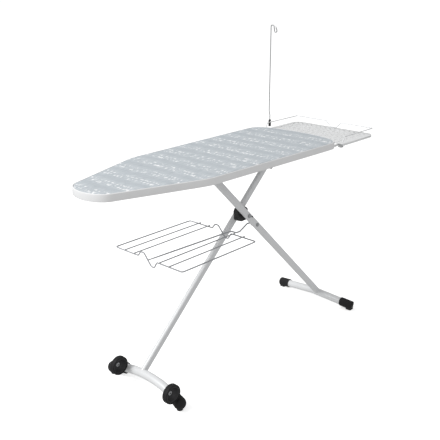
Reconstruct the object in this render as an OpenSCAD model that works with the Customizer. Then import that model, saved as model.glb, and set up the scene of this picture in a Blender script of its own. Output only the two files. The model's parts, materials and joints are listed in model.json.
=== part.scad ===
// Ironing board: fabric-covered deck on two crossed single-tube legs, with a
// wire linen rack, a perforated iron rest and a flex holder.
// Frame: nose towards -X, iron rest towards +X, +Z up, floor at z = 0.

/* [Board] */
// height of the fabric surface above the floor
board_h = 894; // [780:1:960]
// distance from the nose tip to the rear end of the board
board_len = 1242; // [1100:1:1300]
// half width where the nose taper ends
half_w_front = 217.5; // [180:0.5:240]
// half width near the rear end
half_w_rear = 234; // [190:0.5:250]
// half width of the blunt nose
nose_half_w = 103; // [60:1:130]
// depth of the edge band
rim_h = 29; // [15:1:45]
// wall of the edge band
rim_wall = 5.5; // [2:0.5:8]

/* [Legs] */
// wide side of the flat-oval leg tube
leg_w = 31; // [22:1:45]
// narrow side of the flat-oval leg tube
leg_t = 20; // [12:1:30]
// centre plane of each leg, measured from the middle
leg_off = 28.3; // [20:0.1:45]
// slope of leg 1 against the floor
leg1_deg = 44.56; // [35:0.01:55]
// slope of leg 2 against the floor
leg2_deg = 43.01; // [35:0.01:55]
// distance from the scissor pivot to either leg top joint
top_arm = 335; // [300:1:360]
// radius of the foot tubes
foot_r = 18; // [14:0.5:22]

/* [Wheels] */
// rolling radius of the transport wheels
wheel_r = 39; // [28:0.5:45]
// width of the transport wheels
wheel_t = 22; // [10:0.5:26]

/* [Linen rack] */
// half width of the linen rack
rack_half_w = 187; // [120:1:210]
// length of the linen rack
rack_len = 417; // [300:1:450]
// height of the rack plane above the floor
rack_z = 559; // [500:0.5:620]

/* [Iron rest] */
// how far the iron rest reaches beyond the board
rest_len = 272; // [180:1:320]
// half width of the iron rest
rest_half_w = 224; // [150:1:235]
// height of the guard rail above the rest plate
rail_h = 29; // [15:1:45]

/* [Flex holder] */
// height of the top of the flex holder wire above the floor
holder_top = 1351; // [1200:1:1450]

/* [Hidden] */
nose_x = -13.5;
end_x = nose_x + board_len;
x_mid = (nose_x + end_x + rest_len) / 2;
rim_top = board_h - 1;
rim_bot = rim_top - rim_h;
deck_z = board_h - 10;
chan_z = deck_z - 12;
cx = 827;
cz = 599.3;
tx = cx + top_arm * cos(leg2_deg);
tz = cz + top_arm * sin(leg2_deg);
sx = cx - top_arm * cos(leg1_deg);
sz = cz + top_arm * sin(leg1_deg);
track_deg = atan2(tz - sz, tx - sx);
f1x = 1381.7;
f1z = 51.3;
f1dx = 0.138;
f1dz = -0.136;
f1_end = 212;
f2x = 253.4;
f2z = 62.4;
f2_R = 556;
f2_tilt = 19.5;
f2_end = 196;
hub_x = 199.9;
hub_z = 88.7;
arm_y = 152;
wheel_dy = -43;
pin_x = 882;
pin_z = cz - (pin_x - cx) * tan(leg1_deg);
stop_x = 846;
stop_z = 592.5;
plate_z = 871;
plate_end = end_x + rest_len;

white = [0.95, 0.95, 0.95];
silver = [0.80, 0.82, 0.84];
steel = [0.62, 0.64, 0.66];
black = [0.10, 0.10, 0.11];
blue = [0.77, 0.81, 0.86];

module place() { translate([-x_mid, 0, 0]) children(); }

// ---- path helpers for bent wires ----
function unit(v) = v / norm(v);
function corner(a, b, c, r, n) =
  let (u = unit(a - b), v = unit(c - b), ang = acos(u * v), d = r / tan(ang / 2),
    ctr = b + unit(u + v) * (r / sin(ang / 2)), e0 = unit(b + u * d - ctr),
    w = (b + v * d - ctr) / r, e1 = unit(w - e0 * (w * e0)))
  [for (k = [0:n]) ctr + r * (e0 * cos((180 - ang) * k / n) + e1 * sin((180 - ang) * k / n))];
function bend(p, r, n = 6) =
  concat([p[0]], [for (i = [1:len(p) - 2]) each corner(p[i - 1], p[i], p[i + 1], r, n)], [p[len(p) - 1]]);
function dir_at(p, i, loop) = let (m = len(p)) loop ? unit(p[(i + 1) % m] - p[(i + m - 1) % m])
  : unit(p[min(i + 1, m - 1)] - p[max(i - 1, 0)]);

module wire(p, r, up, n = 8, loop = false) {
  m = len(p);
  pts = [for (i = [0:m - 1]) let (t = dir_at(p, i, loop), s = unit(cross(t, up)), q = cross(s, t))
    for (k = [0:n - 1]) p[i] + r * (s * cos(360 * k / n) + q * sin(360 * k / n))];
  sides = [for (i = [0:m - (loop ? 1 : 2)]) for (k = [0:n - 1])
    let (a = i * n + k, b = i * n + (k + 1) % n, c = ((i + 1) % m) * n + k,
      d = ((i + 1) % m) * n + (k + 1) % n)
    each [[a, b, d], [a, d, c]]];
  caps = loop ? [] : [[for (k = [n - 1:-1:0]) k], [for (k = [0:n - 1]) (m - 1) * n + k]];
  polyhedron(points = pts, faces = concat(sides, caps), convexity = 6);
}

module rod(a, b, r) {
  d = b - a;
  translate(a) rotate([0, acos(d[2] / norm(d)), atan2(d[1], d[0])]) cylinder(r = r, h = norm(d), $fn = 40);
}

module along_y(x, z, y0, y1, r) {
  translate([x, y0, z]) rotate([-90, 0, 0]) cylinder(r = r, h = y1 - y0, $fn = 48);
}

// ---- board outline, drawn inwards by i ----
function half_outline(i) = concat(
  [for (a = [180:-10:90]) [60 + (73.5 - i) * cos(a), (nose_half_w - i) * sin(a)]],
  [[150, 133 - i], [240, 164 - i], [330, 195 - i], [368, 207 - i], [390, 213.5 - i],
   [415, half_w_front + 0.2 - i],
   [460, half_w_front + 1.3 - i], [end_x - 94, half_w_rear - i]],
  [[end_x - 69, half_w_rear - 4.5 - i], [end_x - 49 - i * 0.4, half_w_rear - 16 - i * 0.9],
   [end_x - 32 - i * 0.8, half_w_rear - 37 - i * 0.6], [end_x - 20 - i, half_w_rear - 64],
   [end_x - 11 - i, 135], [end_x - 4.5 - i, 90], [end_x - 1 - i, 45], [end_x - i, 0]]);
function outline(i) = let (h = half_outline(i), m = len(h))
  concat([for (k = [0:m - 1]) h[k]], [for (k = [m - 2:-1:1]) [h[k][0], -h[k][1]]]);

module slab(i, z0, z1) { translate([0, 0, z0]) linear_extrude(z1 - z0) polygon(outline(i)); }

module rim() {
  color(white) place() {
    difference() {
      slab(0, rim_bot, rim_top - 1.6);
      slab(rim_wall, rim_bot + 2, rim_top + 1);
      slab(rim_wall + 7, rim_bot - 1, rim_top);
    }
    translate([0, 0, rim_top - 1.6]) linear_extrude(1.6) difference() {
      polygon(outline(1.2));
      polygon(outline(rim_wall));
    }
  }
}

module deck() {
  color(silver) place() translate([0, 0, deck_z]) linear_extrude(1) difference() {
    polygon(outline(rim_wall + 0.1));
    for (c = [0:19]) for (r = [-4:4]) {
      hx = 100 + c * 54 + (abs(r) % 2) * 27;
      hw = hx < 400 ? 103 + (hx - 60) * 0.34 : 214;
      if (abs(r) * 46 + 24 < hw && hx < 1190) translate([hx, r * 46]) rotate(30) circle(r = 16, $fn = 6);
    }
  }
}

module pad() { color([0.9, 0.9, 0.88]) place() slab(rim_wall + 1.6, deck_z + 1.6, board_h - 1.2); }

module cover() { color(blue) place() slab(rim_wall + 0.3, board_h - 1.1, board_h); }

module channel(y) {
  color(white) place() difference() {
    translate([250, y - 11, chan_z]) cube([930, 22, deck_z - chan_z]);
    translate([249, y - 9.5, chan_z + 1.5]) cube([932, 19, deck_z - chan_z]);
  }
}
module channel_near() { channel(-75); }
module channel_far() { channel(75); }

// notched guide for the upper pin of leg 1, on one side of the leg
module height_rack() {
  color(silver) place() {
    difference() {
      union() {
        translate([sx - 216, -90, chan_z - 3]) cube([238, 180, 3]);
        for (y = [-47.5, -61]) translate([sx - 216, y, sz - 17]) cube([238, 3, chan_z - 3 - sz + 17]);
      }
      translate([sx, 0, sz]) rotate([0, -track_deg, 0]) {
        translate([-188, -70, -6.3]) cube([188, 40, 12.6]);
        translate([0, -30, 0]) rotate([90, 0, 0]) cylinder(r = 6.3, h = 40, $fn = 32);
        translate([-188, -30, 0]) rotate([90, 0, 0]) cylinder(r = 6.3, h = 40, $fn = 32);
        for (k = [1:5]) translate([-k * 28 - 5, -70, 0]) cube([10, 40, 12]);
      }
    }
  }
}

module hinge_bracket() {
  color(silver) place() difference() {
    union() {
      translate([tx - 34, -90, chan_z - 3]) cube([68, 180, 3]);
      for (s = [-1, 1]) translate([tx - 20, leg_off + s * 12.5 - 1.5, tz - 18])
        cube([40, 3, chan_z - 3 - tz + 18]);
    }
    along_y(tx, tz, 0, 60, 5);
  }
}

module hinge_pin() {
  color(steel) place() {
    along_y(tx, tz, leg_off - 14, leg_off + 14, 5);
    along_y(tx, tz, leg_off - 17, leg_off - 14, 9);
    along_y(tx, tz, leg_off + 14, leg_off + 17, 9);
  }
}

// ---- iron rest ----
module rest_shape(i) {
  union() {
    translate([end_x + 3, -rest_half_w + i]) square([rest_len - 43, 2 * (rest_half_w - i)]);
    translate([end_x + 3, -rest_half_w + 40]) square([rest_len - 3 - i, 2 * (rest_half_w - 40)]);
    for (s = [-1, 1]) translate([plate_end - 40, s * (rest_half_w - 40)]) circle(r = 40 - i, $fn = 64);
  }
}

module rest_plate() {
  color(silver) place() {
    translate([0, 0, plate_z - 1.5]) linear_extrude(1.5) difference() {
      rest_shape(0);
      for (c = [0:8]) for (r = [-7:7])
        translate([end_x + 30 + c * 26, r * 27 + (c % 2) * 6 - 1]) square([9, 9]);
    }
    translate([0, 0, plate_z - 9]) linear_extrude(7.5) difference() {
      rest_shape(0);
      rest_shape(1.6);
      translate([end_x, -rest_half_w]) square([6, 2 * rest_half_w]);
    }
  }
}

module rest_bracket(s) {
  color(steel) place() {
    translate([end_x - 38, s * 196 - 9, rim_bot - 2.2]) cube([66, 18, 2.2]);
    translate([end_x + 26, s * 196 - 9, rim_bot - 16]) cube([2, 18, 13.8]);
    translate([end_x + 28, s * 196 - 9, rim_bot - 16]) cube([14, 18, 2]);
    translate([end_x + 40, s * 196 - 9, rim_bot - 14]) cube([2, 18, plate_z - 1.5 - rim_bot + 14]);
  }
}
module rest_bracket_near() { rest_bracket(-1); }
module rest_bracket_far() { rest_bracket(1); }

module rest_screws() {
  color(steel) place() for (s = [-1, 1]) for (x = [end_x - 30, end_x - 14])
    translate([x, s * 196, rim_bot - 4.7]) cylinder(r = 4.5, h = 2.5, $fn = 24);
}

rail_path = let (x1 = plate_end - 8, y1 = rest_half_w - 7, z1 = plate_z + rail_h, z0 = plate_z + 2.8) bend([
  [end_x + 16, y1, z0 - 1.4], [end_x + 26, y1, z1], [x1, y1, z1], [x1, 44, z1], [x1, 15, z0],
  [x1, -15, z0], [x1, -44, z1], [x1, -y1, z1], [end_x + 26, -y1, z1], [end_x + 16, -y1, z0 - 1.4]], 9, 6);

module guard_rail() { color(white) place() wire(rail_path, 2.6, [0, 0, 1]); }

// base block and ball on either side of the guard rail, joined by a strap behind it
module flex_clip() {
  color(black) place() translate([end_x + 45, rest_half_w - 7, plate_z + rail_h]) difference() {
    union() {
      translate([0, 0, -18]) cylinder(r = 6, h = 16, $fn = 32);
      translate([0, 0, 9.5]) sphere(r = 6, $fn = 32);
      translate([-3, 1, -10]) cube([6, 4.6, 18]);
    }
    rotate([0, 90, 0]) cylinder(r = 2.65, h = 30, center = true, $fn = 32);
    translate([0, 0, 7]) cylinder(r = 2.25, h = 30, $fn = 24);
  }
}

module flex_wire() {
  x = end_x + 45;
  y = rest_half_w - 7;
  z0 = plate_z + rail_h + 7.2;
  color(steel) place() wire(bend([[x, y, z0], [x, y, z0 + 28], [x, y + 5, z0 + 46], [x, y + 5, holder_top],
    [x, y - 12, holder_top - 1], [x, y - 17, holder_top - 33], [x, y - 32, holder_top - 28],
    [x, y - 22, holder_top - 5]], 6, 5), 2.2, [1, 0, 0], 10);
}

// ---- height release lever ----
lev_x = 700;
lev_y = -75;
lev_z = chan_z - 6.5;
module lever_rivet() {
  color(steel) place() {
    translate([lev_x, lev_y, lev_z - 3]) cylinder(r = 4, h = chan_z - lev_z + 3, $fn = 32);
    translate([lev_x, lev_y, lev_z - 5.5]) cylinder(r = 7, h = 2.5, $fn = 32);
  }
}
module release_lever() {
  color(silver) place() difference() {
    union() {
      translate([lev_x, lev_y, lev_z - 2.5]) cylinder(r = 11, h = 3, $fn = 40);
      translate([lev_x, lev_y, lev_z - 2.5]) rotate(atan2(-212 - lev_y, 758 - lev_x))
        translate([0, -7, 0]) cube([140, 14, 3]);
      translate([lev_x, lev_y, lev_z - 2.5]) rotate(atan2(-52 - lev_y, 632 - lev_x))
        translate([0, -6, 0]) cube([72, 12, 3]);
    }
    translate([lev_x, lev_y, lev_z - 4]) cylinder(r = 4.05, h = 8, $fn = 32);
  }
}
module lever_grip() {
  color(black) place() translate([lev_x, lev_y, lev_z - 9.5]) rotate(atan2(-212 - lev_y, 758 - lev_x)) {
    translate([118, -9, 0]) cube([30, 18, 7]);
  }
}

// ---- legs ----
module oval(w, t, r) {
  square([w, t - 2 * r], center = true);
  square([w - 2 * r, t], center = true);
  for (a = [-1, 1]) for (b = [-1, 1]) translate([a * (w / 2 - r), b * (t / 2 - r)]) circle(r = r, $fn = 40);
}

// leg tube along local +z, from z0 to z1
module leg_bar(z0, z1) {
  translate([0, 0, z0]) linear_extrude(z1 - z0) difference() {
    oval(leg_w, leg_t, 8);
    oval(leg_w - 3, leg_t - 3, 6.5);
  }
}
module plug_bar(z0) {
  translate([0, 0, z0 - 4]) linear_extrude(4) oval(leg_w, leg_t, 8);
  translate([0, 0, z0]) linear_extrude(5) oval(leg_w - 3.3, leg_t - 3.3, 6.3);
}
module on_leg1() { translate([cx, -leg_off, cz]) rotate([0, 90 + leg1_deg, 0]) children(); }
module on_leg2() { translate([cx, leg_off, cz]) rotate([0, -90 - leg2_deg, 0]) children(); }

// half of the shallow vee foot, s gives the side
module foot1_half(s, r, y0, y1) {
  intersection() {
    rod([f1x - f1dx * 20, -s * 20, f1z - f1dz * 20], [f1x + f1dx * y1, s * y1, f1z + f1dz * y1], r);
    translate([f1x - 60, s > 0 ? y0 : -400, -60]) cube([200, s > 0 ? 400 : 400 - y0, 200]);
  }
}
module foot1_solid(r) {
  foot1_half(1, r, 0, f1_end);
  foot1_half(-1, r, 0, f1_end);
}

module foot2_arc(r, y0, y1) {
  a0 = asin(y0 / f2_R);
  a1 = asin(y1 / f2_R);
  translate([f2x - f2_R * sin(f2_tilt), 0, f2z - f2_R * cos(f2_tilt)]) rotate([0, f2_tilt, 0])
    rotate([90, 0, 90]) rotate([0, 0, 90 - a1])
      rotate_extrude(angle = a1 - a0, $fn = 96) translate([f2_R, 0]) circle(r = r, $fn = 40);
}
function foot2_at(y) = let (d = f2_R - sqrt(f2_R * f2_R - y * y))
  [f2x - d * sin(f2_tilt), y, f2z - d * cos(f2_tilt)];

module leg1_tube() {
  color(silver) place() difference() {
    on_leg1() leg_bar(-top_arm - 14, norm([f1x - cx, f1z - cz]) - 3);
    foot1_solid(foot_r + 0.1);
    along_y(cx, cz, -60, 0, 5.05);
    along_y(sx, sz, -60, 0, 6);
    along_y(pin_x, pin_z, -60, 0, 4);
    along_y(stop_x, stop_z, -60, -30, 2.5);
  }
}
module leg1_plug() { color(black) place() on_leg1() plug_bar(-top_arm - 14); }

module leg2_tube() {
  color(silver) place() difference() {
    on_leg2() leg_bar(-top_arm - 14, norm([f2x - cx, f2z - cz]) - 3);
    foot2_arc(foot_r + 0.1, -80, 80);
    along_y(cx, cz, 0, 60, 5);
    along_y(tx, tz, 0, 60, 5.05);
  }
}
module leg2_plug() { color(black) place() on_leg2() plug_bar(-top_arm - 14); }

module foot1_tube() {
  color(silver) place() difference() {
    foot1_solid(foot_r);
    foot1_half(1, foot_r - 1.6, 0, f1_end + 1);
    foot1_half(-1, foot_r - 1.6, 0, f1_end + 1);
  }
}

module foot1_cap(s) {
  xa = f1x + f1dx * 205;
  color(black) place() difference() {
    union() {
      foot1_half(s, 21.5, 160, f1_end + 6);
      translate([xa - 13, s > 0 ? 192 : -218, 0]) cube([26, 26, 22]);
    }
    foot1_half(s, foot_r + 0.02, 0, f1_end + 0.02);
    translate([xa - 100, -400, -50]) cube([200, 800, 50]);
  }
}
module foot1_cap_near() { foot1_cap(-1); }
module foot1_cap_far() { foot1_cap(1); }

module foot2_tube() {
  color(silver) place() difference() {
    foot2_arc(foot_r, -f2_end + 4, f2_end - 4);
    foot2_arc(foot_r - 1.6, -f2_end, f2_end);
  }
}

// sleeve with grip rings, domed end and round sole pad; it starts at the wheel arm
module foot2_cap(s) {
  e = foot2_at(s * f2_end);
  y0 = s > 0 ? arm_y + wheel_dy + wheel_t / 2 : -arm_y + wheel_dy + wheel_t / 2 + 11.4;
  color(black) place() difference() {
    union() {
      foot2_arc(23.4, s > 0 ? y0 : -f2_end, s > 0 ? f2_end : y0);
      for (k = [0:2]) foot2_arc(24.3, s > 0 ? 183 + 2.6 * k : -184.2 - 2.6 * k,
          s > 0 ? 184.2 + 2.6 * k : -183 - 2.6 * k);
      translate(e) sphere(r = 25, $fn = 40);
      translate([e[0], e[1], 0]) cylinder(r = 12, h = 14, $fn = 48);
    }
    if (s > 0) foot2_arc(foot_r + 0.02, 100, f2_end - 3.9);
    if (s < 0) foot2_arc(foot_r + 0.02, -f2_end + 3.9, -100);
    translate([e[0] - 100, -400, -50]) cube([200, 800, 50]);
  }
}

// plate that holds a transport wheel clear of the foot
module wheel_arm(s) {
  y0 = s * arm_y + wheel_dy + wheel_t / 2 + 1.4;
  a = foot2_at(y0 + 4.5);
  color(black) place() difference() {
    translate([hub_x, y0 + 9, hub_z]) rotate([90, 0, 0]) rotate(atan2(a[2] - hub_z, a[0] - hub_x))
      linear_extrude(9) difference() {
        union() {
          translate([0, -11]) square([50, 22]);
          circle(r = 11, $fn = 48);
        }
        circle(r = 5, $fn = 32);
      }
    foot2_arc(23.42, y0 - 12, y0 + 21);
  }
}
module wheel_arm_near() { wheel_arm(-1); }
module wheel_arm_far() { wheel_arm(1); }

module foot2_cap_near() { foot2_cap(-1); }
module foot2_cap_far() { foot2_cap(1); }

module wheel_axles() {
  color(steel) place() for (c = [-arm_y, arm_y]) {
    y = c + wheel_dy + wheel_t / 2;
    along_y(hub_x, hub_z, y - 2.4, y + 12.4, 5);
    along_y(hub_x, hub_z, y - 5.2, y - 2.4, 8.5);
    along_y(hub_x, hub_z, y + 10.8, y + 13.4, 8.5);
  }
}

// deep dished disc, open towards -Y
module wheel_core(c) {
  y = c + wheel_dy + wheel_t / 2;
  color(white) place() difference() {
    along_y(hub_x, hub_z, y - wheel_t + 2, y, wheel_r - 6);
    along_y(hub_x, hub_z, y - 40, y - 2.2, wheel_r - 11);
    along_y(hub_x, hub_z, y - 20, y + 20, 5.05);
  }
}
module wheel_tyre(c) {
  y = c + wheel_dy;
  color(black) place() difference() {
    along_y(hub_x, hub_z, y - wheel_t / 2, y + wheel_t / 2, wheel_r);
    along_y(hub_x, hub_z, y - 20, y + 20, wheel_r - 6);
  }
}
module wheel_near() { wheel_core(-arm_y); }
module wheel_far() { wheel_core(arm_y); }
module wheel_near_tyre() { wheel_tyre(-arm_y); }
module wheel_far_tyre() { wheel_tyre(arm_y); }

module slider_pin() {
  color(steel) place() {
    along_y(sx, sz, -62, -leg_off + leg_t / 2, 6);
    along_y(sx, sz, -64.5, -62, 9);
  }
}
module slider_washers() {
  color(black) place() for (y = [-44.2, -57.8]) difference() {
    along_y(sx, sz, y, y + (y > -50 ? 5.8 : 9.8), 10);
    along_y(sx, sz, y - 1, y + 12, 6.01);
  }
}

// ---- scissor pivot ----
spacer_tn = [[-45, -1], [-40, -16], [-9, -39], [12, -29], [31, -9], [26, 10], [6, 33], [-10, 33], [-34, 10]];
module pivot_spacer() {
  c1 = cos(leg1_deg);
  s1 = sin(leg1_deg);
  color(black) place() difference() {
    union() {
      translate([0, leg_off - leg_t / 2, 0]) rotate([90, 0, 0]) linear_extrude(leg_off - leg_t / 2 + 7.5)
        polygon([for (p = spacer_tn) [cx + p[0] * c1 + p[1] * s1, cz - p[0] * s1 + p[1] * c1]]);
      along_y(cx, cz, -leg_off + leg_t / 2 + 0.3, -7, 6.8);
    }
    along_y(cx, cz, -40, 40, 5);
  }
}
module pivot_bolt() {
  color(steel) place() {
    along_y(cx, cz, -leg_off - leg_t / 2 - 0.4, leg_off + leg_t / 2 + 8, 5);
    along_y(cx, cz, -leg_off - leg_t / 2 - 3.4, -leg_off - leg_t / 2 - 0.4, 9);
  }
}
module pivot_nut() {
  color(steel) place() difference() {
    translate([cx, leg_off + leg_t / 2 + 6, cz]) rotate([90, 0, 0]) cylinder(r = 9, h = 6, $fn = 6);
    along_y(cx, cz, 0, 60, 5);
  }
}
module stop_button() {
  color(black) place() {
    along_y(stop_x, stop_z, -leg_off - leg_t / 2, -leg_off - 4, 2.5);
    along_y(stop_x, stop_z, -leg_off - leg_t / 2 - 2, -leg_off - leg_t / 2, 4);
  }
}
module rack_pin() {
  y0 = -leg_off - leg_t / 2;
  color(steel) place() {
    along_y(pin_x, pin_z, y0, -7.6, 4);
    along_y(pin_x, pin_z, y0 - 3, y0, 8);
    along_y(pin_x, pin_z, -7.6, -5.1, 7);
  }
}

// ---- linen rack ----
rack_x0 = 277;
module rack_frame() {
  w = rack_half_w;
  x1 = rack_x0 + rack_len;
  fwd = [[-52, 0], [-37, -25.5], [-20, -25.5], [19, 20], [38, 20], [53, 0]];
  loop_pts = concat([[rack_x0, -w, rack_z]], [for (q = fwd) [rack_x0, q[0], rack_z + q[1]]],
    [[rack_x0, w, rack_z], [x1, w, rack_z]], [for (k = [5:-1:0]) [x1, fwd[k][0], rack_z + fwd[k][1]]],
    [[x1, -w, rack_z]]);
  m = len(loop_pts);
  color(white) place() wire([for (i = [0:m - 1])
    each corner(loop_pts[(i + m - 1) % m], loop_pts[i], loop_pts[(i + 1) % m], 10, 4)], 3, [0, 0, 1], 8, true);
}
module rack_wires() {
  color(white) place() for (y = [-124, -71, 71, 124])
    rod([rack_x0 - 3, y, rack_z + 5.5], [rack_x0 + rack_len + 3, y, rack_z + 5.5], 2.5);
}
rod_path = [[rack_x0 - 18, -13, rack_z + 2], [rack_x0 + rack_len, -13, rack_z - 9], [742, -13, rack_z - 13],
  [772, -13, 532], [795, -13, 531], [846, -13, 555], [pin_x - 6, -13, pin_z + 3.6]];
module rack_rod() { color(white) place() wire(bend(rod_path, 10, 4), 3.4, [0, 1, 0], 8); }
module rack_eye() {
  color(steel) place() difference() {
    along_y(pin_x, pin_z, -17.8, -7.9, 10.5);
    along_y(pin_x, pin_z, -20, 0, 4.05);
    rod([pin_x - 42, -13, pin_z + 11.4], [pin_x - 5.9, -13, pin_z + 3.6], 3.45);
  }
}

rim();
deck();
pad();
cover();
channel_near();
channel_far();
height_rack();
hinge_bracket();
hinge_pin();
lever_rivet();
rest_plate();
rest_bracket_near();
rest_bracket_far();
rest_screws();
guard_rail();
flex_clip();
release_lever();
lever_grip();
flex_wire();
leg2_tube();
leg2_plug();
foot2_tube();
foot2_cap_near();
foot2_cap_far();
wheel_arm_near();
wheel_arm_far();
wheel_axles();
pivot_spacer();
pivot_bolt();
pivot_nut();
wheel_near();
wheel_near_tyre();
wheel_far();
wheel_far_tyre();
leg1_tube();
leg1_plug();
foot1_tube();
foot1_cap_near();
foot1_cap_far();
slider_pin();
slider_washers();
stop_button();
rack_pin();
rack_frame();
rack_wires();
rack_rod();
rack_eye();
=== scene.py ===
"""Ironing board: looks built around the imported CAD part. Metres, in the part's own frame."""

import json
import math

import bmesh
import bpy
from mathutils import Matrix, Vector, noise
from mathutils.kdtree import KDTree


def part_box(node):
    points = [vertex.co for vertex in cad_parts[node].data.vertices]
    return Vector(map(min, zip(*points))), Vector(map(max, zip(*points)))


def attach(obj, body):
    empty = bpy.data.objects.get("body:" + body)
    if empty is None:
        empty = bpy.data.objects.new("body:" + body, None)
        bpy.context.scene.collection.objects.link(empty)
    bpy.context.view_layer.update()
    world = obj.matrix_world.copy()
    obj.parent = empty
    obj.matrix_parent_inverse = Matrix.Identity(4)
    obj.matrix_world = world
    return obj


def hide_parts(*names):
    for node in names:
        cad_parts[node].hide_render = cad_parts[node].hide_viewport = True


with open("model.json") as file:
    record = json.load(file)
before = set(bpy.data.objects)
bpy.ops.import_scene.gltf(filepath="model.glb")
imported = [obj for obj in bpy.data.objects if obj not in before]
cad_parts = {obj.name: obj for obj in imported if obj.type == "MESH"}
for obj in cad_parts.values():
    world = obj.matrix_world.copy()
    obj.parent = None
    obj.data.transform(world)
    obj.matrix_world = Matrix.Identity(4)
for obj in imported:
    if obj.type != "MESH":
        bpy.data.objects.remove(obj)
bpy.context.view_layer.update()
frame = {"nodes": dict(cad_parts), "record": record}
NODES = frame["nodes"]

# ---------------------------------------------------------------- node helpers


class Shader:
    """A node material with short ways to add and join nodes."""

    def __init__(self, name, colour, roughness, metallic=0.0):
        self.mat = bpy.data.materials.new(name)
        self.mat.use_nodes = True
        self.tree = self.mat.node_tree
        self.bsdf = self.tree.nodes["Principled BSDF"]
        self.bsdf.inputs["Base Color"].default_value = (*colour, 1)
        self.bsdf.inputs["Roughness"].default_value = roughness
        self.bsdf.inputs["Metallic"].default_value = metallic
        self.place = self.add("ShaderNodeTexCoord").outputs["Object"]

    def add(self, kind, **inputs):
        node = self.tree.nodes.new(kind)
        for key, value in inputs.items():
            socket = node.inputs[key.replace("_", " ")]
            if isinstance(value, bpy.types.NodeSocket):
                self.tree.links.new(value, socket)
            else:
                socket.default_value = value
        return node

    def join(self, output, socket):
        self.tree.links.new(output, socket)

    def stretched(self, scale):
        node = self.add("ShaderNodeMapping", Vector=self.place)
        node.inputs["Scale"].default_value = scale
        return node.outputs["Vector"]

    def noise(self, scale, detail=3.0, vector=None, distortion=0.0):
        node = self.add("ShaderNodeTexNoise", Scale=scale, Detail=detail, Distortion=distortion)
        self.join(vector or self.place, node.inputs["Vector"])
        return node.outputs["Fac"]

    def ramp(self, fac, low, high, a=0.0, b=1.0):
        node = self.add("ShaderNodeMapRange", Value=fac)
        for key, value in (("From Min", low), ("From Max", high), ("To Min", a), ("To Max", b)):
            node.inputs[key].default_value = value
        return node.outputs["Result"]

    def maths(self, kind, a, b=0.0):
        node = self.add("ShaderNodeMath")
        node.operation = kind
        for socket, value in zip(node.inputs, (a, b)):
            if isinstance(value, bpy.types.NodeSocket):
                self.join(value, socket)
            else:
                socket.default_value = value
        return node.outputs[0]

    def mix(self, fac, a, b):
        node = self.add("ShaderNodeMix")
        node.data_type = "RGBA"
        self.join(fac, node.inputs[0])
        for socket, value in ((node.inputs[6], a), (node.inputs[7], b)):
            if isinstance(value, bpy.types.NodeSocket):
                self.join(value, socket)
            else:
                socket.default_value = (*value, 1)
        return node.outputs[2]

    def colour(self, output):
        self.join(output, self.bsdf.inputs["Base Color"])

    def roughness(self, fac, a, b):
        self.join(self.ramp(fac, 0.3, 0.7, a, b), self.bsdf.inputs["Roughness"])

    def bump(self, height, strength, distance):
        node = self.add("ShaderNodeBump", Height=height, Strength=strength, Distance=distance)
        self.join(node.outputs["Normal"], self.bsdf.inputs["Normal"])

    def set(self, name, value):
        self.bsdf.inputs[name].default_value = value


# ---------------------------------------------------------------- materials


def powder_coat(name, colour, roughness, grain=900.0, tint=0.93):
    """Sprayed powder paint: fine orange peel, faint patchiness and slightly varied gloss."""
    s = Shader(name, colour, roughness)
    cloudy = s.noise(9.0, 4.0)
    dark = tuple(c * tint for c in colour)
    s.colour(s.mix(s.ramp(cloudy, 0.35, 0.65), dark, colour))
    s.roughness(s.noise(60.0, 2.0), roughness - 0.06, roughness + 0.08)
    s.bump(s.noise(grain, 1.0), 0.12, 0.0004)
    s.set("Coat Weight", 0.25)
    s.set("Coat Roughness", 0.25)
    return s.mat


def plated_steel(name, colour, roughness):
    """Zinc or nickel plated steel with drawn lines and small dull spots."""
    s = Shader(name, colour, roughness, metallic=1.0)
    lines = s.noise(40.0, 2.0, s.stretched((2.0, 30.0, 30.0)))
    spots = s.noise(220.0, 3.0)
    worn = tuple(c * 0.78 for c in colour)
    s.colour(s.mix(s.ramp(spots, 0.45, 0.75), colour, worn))
    s.roughness(lines, roughness - 0.08, roughness + 0.12)
    s.bump(lines, 0.08, 0.0002)
    return s.mat


def moulded_plastic(name, colour, roughness, grain=1400.0, flow_gain=1.18):
    """Moulded plastic: fine spark texture and faint flow marks."""
    s = Shader(name, colour, roughness)
    flow = s.noise(14.0, 3.0, distortion=0.8)
    light = tuple(min(1.0, c * flow_gain + 0.002) for c in colour)
    s.colour(s.mix(s.ramp(flow, 0.3, 0.7), colour, light))
    s.roughness(s.noise(90.0, 2.0), roughness - 0.06, roughness + 0.08)
    s.bump(s.noise(grain, 2.0), 0.25, 0.0003)
    return s.mat


def rubber(name, colour):
    """Matt black rubber with dust in its texture."""
    s = Shader(name, colour, 0.72)
    dust = s.noise(35.0, 5.0)
    grey = tuple(c + 0.012 for c in colour)
    s.colour(s.mix(s.ramp(dust, 0.45, 0.8), colour, grey))
    s.roughness(dust, 0.62, 0.84)
    s.bump(s.noise(700.0, 2.0), 0.4, 0.0004)
    s.set("Specular IOR Level", 0.35)
    return s.mat


def weave_height(s, pitch):
    """Plain weave: threads along and across, each a rounded ridge."""
    along = s.add("ShaderNodeTexWave", Scale=1.0 / pitch, Distortion=0.6, Detail=1.0, Detail_Scale=2.0)
    along.bands_direction = "X"
    across = s.add("ShaderNodeTexWave", Scale=1.0 / pitch, Distortion=0.6, Detail=1.0, Detail_Scale=2.0)
    across.bands_direction = "Y"
    for node in (along, across):
        s.join(s.stretched((0.3183, 0.3183, 0.3183)), node.inputs["Vector"])
    return s.maths("MAXIMUM", along.outputs["Fac"], across.outputs["Fac"])


PRINT_ROW = 0.094  # spacing of the printed rows along the board
PRINT_DRIFT = 0.006  # how far a row strays from its line
STROKE_LEAN = math.radians(24)
STROKES_PER_METRE = (44.0, 125.0, 1.0)
HATCH_PER_METRE = (24.0, 230.0, 1.0)
THREAD_PITCH = 0.0011


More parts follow.
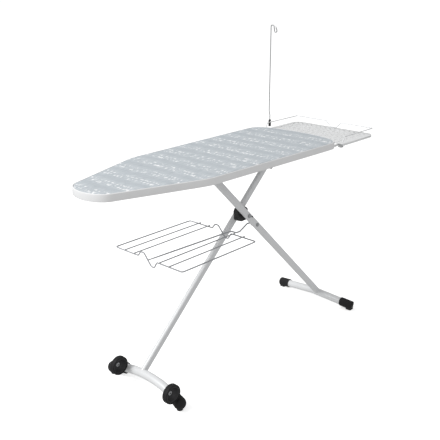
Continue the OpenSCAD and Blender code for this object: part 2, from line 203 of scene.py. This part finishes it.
def printed_cotton(name):
    """Pale blue-grey cotton: hatching along the board, and rows of short white strokes across it."""
    blue, deep = (0.51, 0.555, 0.59), (0.44, 0.485, 0.52)
    pale, white = (0.62, 0.66, 0.69), (0.95, 0.96, 0.97)
    s = Shader(name, blue, 0.85)
    xyz = s.add("ShaderNodeSeparateXYZ", Vector=s.place)
    drift = s.ramp(s.noise(6.0, 2.0), 0.3, 0.7, -PRINT_DRIFT, PRINT_DRIFT)
    row = s.maths("FRACT", s.maths("DIVIDE", s.maths("ADD", xyz.outputs["X"], drift), PRINT_ROW))
    hatch = s.noise(1.0, 4.0, s.stretched(HATCH_PER_METRE), distortion=0.3)
    ground = s.mix(s.ramp(hatch, 0.36, 0.64), deep, pale)
    cloudy = s.noise(1.0, 2.0, s.stretched((9.0, 22.0, 1.0)))
    ground = s.mix(s.ramp(cloudy, 0.35, 0.65, 0.0, 0.5), ground, blue)
    band = s.maths("MULTIPLY", s.ramp(row, 0.60, 0.70), s.ramp(row, 0.98, 0.90))
    ground = s.mix(s.maths("MULTIPLY", band, 0.45), ground, deep)
    strokes = s.add("ShaderNodeTexVoronoi", Scale=1.0, Randomness=0.9)
    turned = s.add("ShaderNodeMapping", Vector=s.place)
    turned.inputs["Rotation"].default_value = (0, 0, STROKE_LEAN)
    turned.inputs["Scale"].default_value = STROKES_PER_METRE
    s.join(turned.outputs["Vector"], strokes.inputs["Vector"])
    first = s.maths("MULTIPLY", s.ramp(row, 0.04, 0.08), s.ramp(row, 0.26, 0.20))
    second = s.maths("MULTIPLY", s.ramp(row, 0.32, 0.36), s.ramp(row, 0.50, 0.45))
    patch = s.ramp(s.noise(1.0, 2.0, s.stretched((30.0, 42.0, 1.0))), 0.38, 0.46)
    in_row = s.maths("MULTIPLY", s.maths("ADD", first, second), patch)
    fleck = s.maths("MULTIPLY", s.ramp(strokes.outputs["Distance"], 0.46, 0.34), in_row)
    s.colour(s.mix(fleck, ground, white))
    s.bump(weave_height(s, THREAD_PITCH), 0.35, 0.0004)
    s.set("Sheen Weight", 0.15)
    s.set("Sheen Roughness", 0.5)
    s.set("Specular IOR Level", 0.25)
    return s.mat


def felt(name):
    """Needled felt: short crossing fibres."""
    s = Shader(name, (0.78, 0.78, 0.75), 0.95)
    fibre = s.noise(900.0, 4.0, distortion=2.0)
    s.colour(s.mix(s.ramp(fibre, 0.35, 0.65), (0.70, 0.70, 0.67), (0.82, 0.82, 0.79)))
    s.bump(fibre, 0.6, 0.0008)
    s.set("Sheen Weight", 0.4)
    return s.mat


def studio_floor(name):
    """Plain white paper that glows a little, so that it stays white right up to the horizon."""
    s = Shader(name, (0.93, 0.93, 0.93), 0.9)
    s.set("Emission Color", (1.0, 1.0, 1.0, 1.0))
    s.set("Emission Strength", 0.55)
    s.colour(s.mix(s.noise(0.6, 2.0), (0.92, 0.92, 0.92), (0.94, 0.94, 0.94)))
    s.set("Specular IOR Level", 0.1)
    return s.mat


LOOKS = {
    "white_edge": moulded_plastic("edge_white", (0.80, 0.805, 0.81), 0.42, flow_gain=1.03),
    "white_paint": powder_coat("paint_white", (0.82, 0.83, 0.84), 0.38),
    "plate_paint": powder_coat("paint_plate", (0.86, 0.87, 0.875), 0.42, tint=0.97),
    "silver_paint": powder_coat("paint_silver", (0.78, 0.79, 0.80), 0.32, grain=1500.0, tint=0.97),
    # Wire paint: a dark grey that is painted shade. The wires are light in colour, and the shade on their
    # sides is painted into this grey.
    "wire_paint": powder_coat("grey_wire_painted_shade", (0.42, 0.43, 0.45), 0.30),
    "zinc_steel": plated_steel("steel_zinc", (0.66, 0.67, 0.68), 0.38),
    "bright_steel": plated_steel("steel_bright", (0.42, 0.43, 0.44), 0.28),
    "felt": felt("cloth_felt"),
    "cover_cloth": printed_cotton("cloth_cotton"),
    "black_plastic": moulded_plastic("plastic_black", (0.012, 0.012, 0.013), 0.45),
    "black_rubber": rubber("rubber_black", (0.010, 0.010, 0.011)),
    "wheel_plastic": moulded_plastic("plastic_wheel", (0.016, 0.016, 0.018), 0.5),
    "wheel_tyre": rubber("rubber_tyre", (0.010, 0.010, 0.011)),
}

# ---------------------------------------------------------------- mesh helpers


def new_piece(name, bm, slot, body, angle=35):
    """A mesh with its finish, riding on a body of the frame; edges sharper than angle stay crisp."""
    mesh = bpy.data.meshes.new(name)
    bmesh.ops.recalc_face_normals(bm, faces=bm.faces)
    bm.to_mesh(mesh)
    bm.free()
    for face in mesh.polygons:
        face.use_smooth = True
    mesh.set_sharp_from_angle(angle=math.radians(angle))
    obj = bpy.data.objects.new(name, mesh)
    bpy.context.scene.collection.objects.link(obj)
    mesh.materials.append(LOOKS[slot])
    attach(obj, body)
    return obj


def stitch(bm, a, b):
    """Faces between two closed rings of as many points."""
    n = len(a)
    for i in range(n):
        j = (i + 1) % n
        bm.faces.new((a[i], a[j], b[j], b[i]))


def smoothed(points, count):
    """A closed outline resampled to even steps after rounding its polyline corners."""
    rounded = list(points)
    for _ in range(2):
        n = len(rounded)
        rounded = [
            rounded[i].lerp(rounded[(i + 1) % n], t) for i in range(n) for t in (0.25, 0.75)
        ]
    n = len(rounded)
    steps = [(rounded[(i + 1) % n] - rounded[i]).length for i in range(n)]
    total, out, i, walked = sum(steps), [], 0, 0.0
    for k in range(count):
        target = total * k / count
        while walked + steps[i] < target:
            walked += steps[i]
            i += 1
        out.append(rounded[i].lerp(rounded[(i + 1) % n], (target - walked) / steps[i]))
    return out


def outline_of(node):
    """The plan outline of a CAD slab's lower face, as 2-D points in order round it."""
    lo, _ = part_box(node)
    seen = {
        (round(v.co.x, 5), round(v.co.y, 5)): Vector((v.co.x, v.co.y))
        for v in NODES[node].data.vertices
        if v.co.z < lo.z + 1e-5
    }
    points = sorted(seen.values(), key=lambda p: (p.x, p.y))
    hull = []
    for chain in (points, points[::-1]):
        part = []
        for p in chain:
            while len(part) > 1 and (part[-1] - part[-2]).cross(p - part[-1]) <= 1e-12:
                part.pop()
            part.append(p)
        hull += part[:-1]
    return hull


def inward(points, distance):
    """A smooth closed outline moved towards its inside."""
    n, out = len(points), []
    for i in range(n):
        t = (points[(i + 1) % n] - points[i - 1]).normalized()
        out.append(points[i] + Vector((-t.y, t.x)) * distance)
    return out


def swept_band(outline, profile):
    """A closed profile of (inset, height) pairs carried round the outline."""
    bm = bmesh.new()
    rings = []
    for inset, z in profile:
        rings.append([bm.verts.new((p.x, p.y, z)) for p in inward(outline, inset)])
    for a, b in zip(rings, rings[1:] + rings[:1]):
        stitch(bm, a, b)
    return bm


def rounded_profile(x0, x1, z0, z1, r, n=5):
    """A rectangle with corners of radius r, as (x, z) points."""
    out = []
    corners = ((x1 - r, z1 - r), (x0 + r, z1 - r), (x0 + r, z0 + r), (x1 - r, z0 + r))
    for a0, (cx, cz) in zip((0, 90, 180, 270), corners):
        for k in range(n + 1):
            a = math.radians(a0 + 90 * k / n)
            out.append((cx + r * math.cos(a), cz + r * math.sin(a)))
    return out


# ---------------------------------------------------------------- board


def edge_band():
    """The white edge band with its inner lip; gives the board's outline and the band's thickness."""
    lo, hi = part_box("rim")
    outline = smoothed(outline_of("rim"), 420)
    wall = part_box("cover")[0].x - lo.x
    band = rounded_profile(0, wall, lo.z, hi.z, 0.0026)
    obj = new_piece("edge_band", swept_band(outline, band), "white_edge", "board")
    lip = rounded_profile(wall - 0.0005, wall + 0.0065, lo.z + 0.0004, lo.z + 0.0024, 0.0008, 3)
    new_piece("edge_lip", swept_band(outline, lip), "white_edge", "board")
    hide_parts("rim")
    return outline, wall


GRID = (260, 88)  # cells of the cover, along and across
CLOTH_THICK = 0.0009
ROLL, ROLL_REACH = 0.0030, 0.0022  # depth of the rolled edge, and how far in it reaches
PUCKER, PUCKER_REACH = 0.0005, 0.03
CROWN, CROWN_REACH = 0.0010, 0.05


def board_cover(outline, wall):
    """The cover: one stretched sheet that rolls over its edge and puckers a little beside it."""
    _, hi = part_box("cover")
    inside = inward(outline, wall + 0.0004)
    x0, x1 = min(p.x for p in inside), max(p.x for p in inside)
    tree = KDTree(len(inside))
    for i, p in enumerate(inside):
        tree.insert((p.x, p.y, 0), i)
    tree.balance()
    half = half_width(inside)
    nx, ny = GRID
    bm = bmesh.new()
    grid = []
    for i in range(nx + 1):
        t = i / nx
        x = x0 + 0.00005 + (x1 - x0 - 0.0001) * (0.5 - 0.5 * math.cos(math.pi * t))
        w = half(x)
        row = []
        for j in range(ny + 1):
            f = math.sin(math.pi / 2 * (2 * j / ny - 1))
            y = w * f
            d = (tree.find((x, y, 0))[0] - Vector((x, y, 0))).length
            roll = ROLL * math.exp(-d / ROLL_REACH)
            pucker = noise.noise(Vector((x * 38, y * 38, 3.0))) * PUCKER * math.exp(-d / PUCKER_REACH)
            soft = noise.noise(Vector((x * 7, y * 9, 8.0))) * 0.0004
            rise = CROWN * (1 - math.exp(-d / CROWN_REACH))
            row.append(bm.verts.new((x, y, hi.z - 0.0006 - roll + pucker + soft + rise)))
        grid.append(row)
    for i in range(nx):
        for j in range(ny):
            bm.faces.new((grid[i][j], grid[i + 1][j], grid[i + 1][j + 1], grid[i][j + 1]))
    area = sum(f.calc_area() for f in bm.faces)
    obj = new_piece("cloth_cover", bm, "cover_cloth", "board", angle=80)
    thick = obj.modifiers.new("cloth", "SOLIDIFY")
    thick.thickness = CLOTH_THICK
    thick.offset = -1
    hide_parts("cover")


def half_width(outline):
    """Half width of a symmetric outline as a function of x."""
    side = sorted(((p.x, p.y) for p in outline if p.y >= 0), key=lambda q: q[0])

    def at(x):
        for (xa, ya), (xb, yb) in zip(side, side[1:]):
            if xa <= x <= xb:
                t = 0 if xb == xa else (x - xa) / (xb - xa)
                return max(ya + (yb - ya) * t, 0.0015)
        return 0.0015

    return at


def felt_pad(outline, wall):
    """The pad: one slab of felt under the cover, its edges rounded over."""
    lo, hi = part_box("pad")
    inside = inward(outline, wall + 0.0018)
    bm = bmesh.new()
    rings = []
    top, low = hi.z - 0.0032, lo.z
    side = [(0.004, low), (0.0012, low + 0.0012), (0, low + 0.003)]
    side += [(0.0012, top - 0.0012), (0.004, top)]
    for inset, z in side:
        rings.append([bm.verts.new((p.x, p.y, z)) for p in inward(inside, inset)])
    for a, b in zip(rings, rings[1:]):
        stitch(bm, a, b)
    for ring in (rings[0], rings[-1]):
        bm.faces.new(ring)
    obj = new_piece("felt_pad", bm, "felt", "board", angle=60)
    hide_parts("pad")


# ---------------------------------------------------------------- wheels


def lathe(profile, centre, steps=72):
    """(radius, y) pairs turned about an axis along Y through centre."""
    bm = bmesh.new()
    rings = []
    for r, y in profile:
        ring = []
        for k in range(steps):
            a = 2 * math.pi * k / steps
            ring.append(bm.verts.new((centre.x + r * math.cos(a), centre.y + y, centre.z + r * math.sin(a))))
        rings.append(ring)
    for a, b in zip(rings, rings[1:] + rings[:1]):
        stitch(bm, a, b)
    return bm


def wheel(side):
    """A grooved tyre round a deep stepped dish, open towards -Y, and the plug in its axle's head."""
    node = f"wheel_{side}"
    lo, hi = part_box(node + "_tyre")
    centre = (lo + hi) / 2
    half, r = (hi.y - lo.y) / 2, (hi.x - lo.x) / 2
    inner = (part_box(node)[1].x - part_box(node)[0].x) / 2
    tyre = [(inner, -half + 0.001), (inner + 0.0012, -half), (r - 0.003, -half), (r - 0.0009, -half + 0.0012)]
    tyre += [(r, -half + 0.0035), (r, -0.0016), (r - 0.0007, -0.0010), (r - 0.0007, 0.0010), (r, 0.0016)]
    tyre += [(r, half - 0.0035), (r - 0.0009, half - 0.0012), (r - 0.003, half), (inner + 0.0012, half)]
    tyre += [(inner, half - 0.001)]
    ring = new_piece(f"tyre_{side}", lathe(tyre, centre), "wheel_tyre", node)
    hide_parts(node + "_tyre")
    bore, wall = 0.00505, inner - 0.005
    disc = [(bore, half - 0.0021), (0.0092, half - 0.0021), (0.0104, half - 0.0026)]
    disc += [(0.0125, half - 0.0030), (0.0158, half - 0.0040), (0.0172, half - 0.0053)]
    disc += [(0.0190, half - 0.0055), (0.0204, half - 0.0066), (wall - 0.0015, -half + 0.0060)]
    disc += [(wall, -half + 0.0034), (wall + 0.0010, -half + 0.0022), (inner - 0.0012, -half + 0.0022)]
    disc += [(inner - 0.0001, -half + 0.0032), (inner - 0.0001, half - 0.0012)]
    disc += [(inner - 0.0012, half - 0.0001), (0.0110, half - 0.0001), (bore, half - 0.0001)]
    body = new_piece(f"disc_{side}", lathe(disc, centre), "wheel_plastic", node)
    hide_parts(node)
    head = half - 0.0052
    plug = [(0.0002, head - 0.0007), (0.0026, head - 0.0007), (0.0032, head - 0.0003)]
    plug += [(0.0032, head + 0.0004), (0.0002, head + 0.0004)]
    new_piece(f"axle_plug_{side}", lathe(plug, centre, 32), "black_plastic", "leg_2")


# ---------------------------------------------------------------- carried-over parts


def dress(node, slot, bevel=0.0, rounds=0):
    """A CAD node that keeps its shape gets its finish, soft edges and smooth shading."""
    obj = NODES[node]
    obj.data.materials.clear()
    obj.data.materials.append(LOOKS[slot])
    weld = obj.modifiers.new("weld", "WELD")
    weld.merge_threshold = 0.00001
    if bevel:
        edge = obj.modifiers.new("edges", "BEVEL")
        edge.width = bevel
        edge.segments = 2
        edge.limit_method = "ANGLE"
        edge.angle_limit = math.radians(50)
    if rounds:
        sub = obj.modifiers.new("round", "SUBSURF")
        sub.levels = rounds
        sub.render_levels = rounds
    for face in obj.data.polygons:
        face.use_smooth = True
    obj.data.set_sharp_from_angle(angle=math.radians(40 if not rounds else 80))
    if not rounds:
        even = obj.modifiers.new("even_shading", "WEIGHTED_NORMAL")
        even.keep_sharp = True


BEVELS = {
    "pivot_spacer": 0.0012,
    "lever_grip": 0.0015,
    "flex_clip": 0.0006,
    "pivot_nut": 0.0005,
    "leg1_plug": 0.0008,
    "leg2_plug": 0.0008,
}
ROUND_WIRES = {"guard_rail": 1, "flex_wire": 1, "rack_frame": 1, "rack_rod": 1}

replaced = {"rim", "pad", "cover", "wheel_near", "wheel_near_tyre", "wheel_far", "wheel_far_tyre"}
for part in frame["record"]["subparts"]:
    if part["node"] not in replaced:
        name = part["node"]
        dress(name, part["material_slot"], BEVELS.get(name, 0.0), ROUND_WIRES.get(name, 0))

plan, band_wall = edge_band()
felt_pad(plan, band_wall)
board_cover(plan, band_wall)
for which in ("near", "far"):
    wheel(which)

# ---------------------------------------------------------------- stage


FLOOR_HALF = 220  # far enough that its edge falls on the horizon
CAMERA_PLACE = (-2.1318, -1.8967, 1.6045)
CAMERA_VIEW = (0.69527, 0.63647, -0.33392)
CAMERA_LENS, CAMERA_SENSOR = 58.6, 36
WORLD_LIGHT = 0.54


def floor():
    bm = bmesh.new()
    bmesh.ops.create_grid(bm, x_segments=2, y_segments=2, size=FLOOR_HALF)
    mesh = bpy.data.meshes.new("floor")
    bm.to_mesh(mesh)
    bm.free()
    mesh.materials.append(studio_floor("floor_white"))
    obj = bpy.data.objects.new("floor", mesh)
    obj.visible_diffuse = False
    obj.visible_glossy = False
    bpy.context.scene.collection.objects.link(obj)


def soft_box(name, place, target, size, power):
    data = bpy.data.lights.new(name, "AREA")
    data.shape = "RECTANGLE"
    data.size, data.size_y = size
    data.energy = power
    obj = bpy.data.objects.new(name, data)
    obj.location = place
    obj.rotation_euler = (Vector(target) - Vector(place)).to_track_quat("-Z", "Y").to_euler()
    bpy.context.scene.collection.objects.link(obj)


def camera():
    data = bpy.data.cameras.new("camera")
    data.sensor_width = CAMERA_SENSOR
    data.lens = CAMERA_LENS
    data.clip_start, data.clip_end = 0.05, 600
    obj = bpy.data.objects.new("camera", data)
    obj.location = CAMERA_PLACE
    obj.rotation_euler = Vector(CAMERA_VIEW).to_track_quat("-Z", "Y").to_euler()
    bpy.context.scene.collection.objects.link(obj)
    bpy.context.scene.camera = obj


floor()
camera()
world = bpy.data.worlds.new("studio")
world.use_nodes = True
world.node_tree.nodes["Background"].inputs[0].default_value = (1.0, 1.0, 1.0, 1)
world.node_tree.nodes["Background"].inputs[1].default_value = WORLD_LIGHT
bpy.context.scene.world = world
bpy.context.scene.view_settings.view_transform = "Standard"
soft_box("key", (-5.4, 2.2, 5.6), (0, 0, 0.5), size=(2.4, 2.4), power=390)
soft_box("fill", (-2.4, -3.6, 2.4), (0, 0, 0.6), size=(2.0, 2.0), power=14)
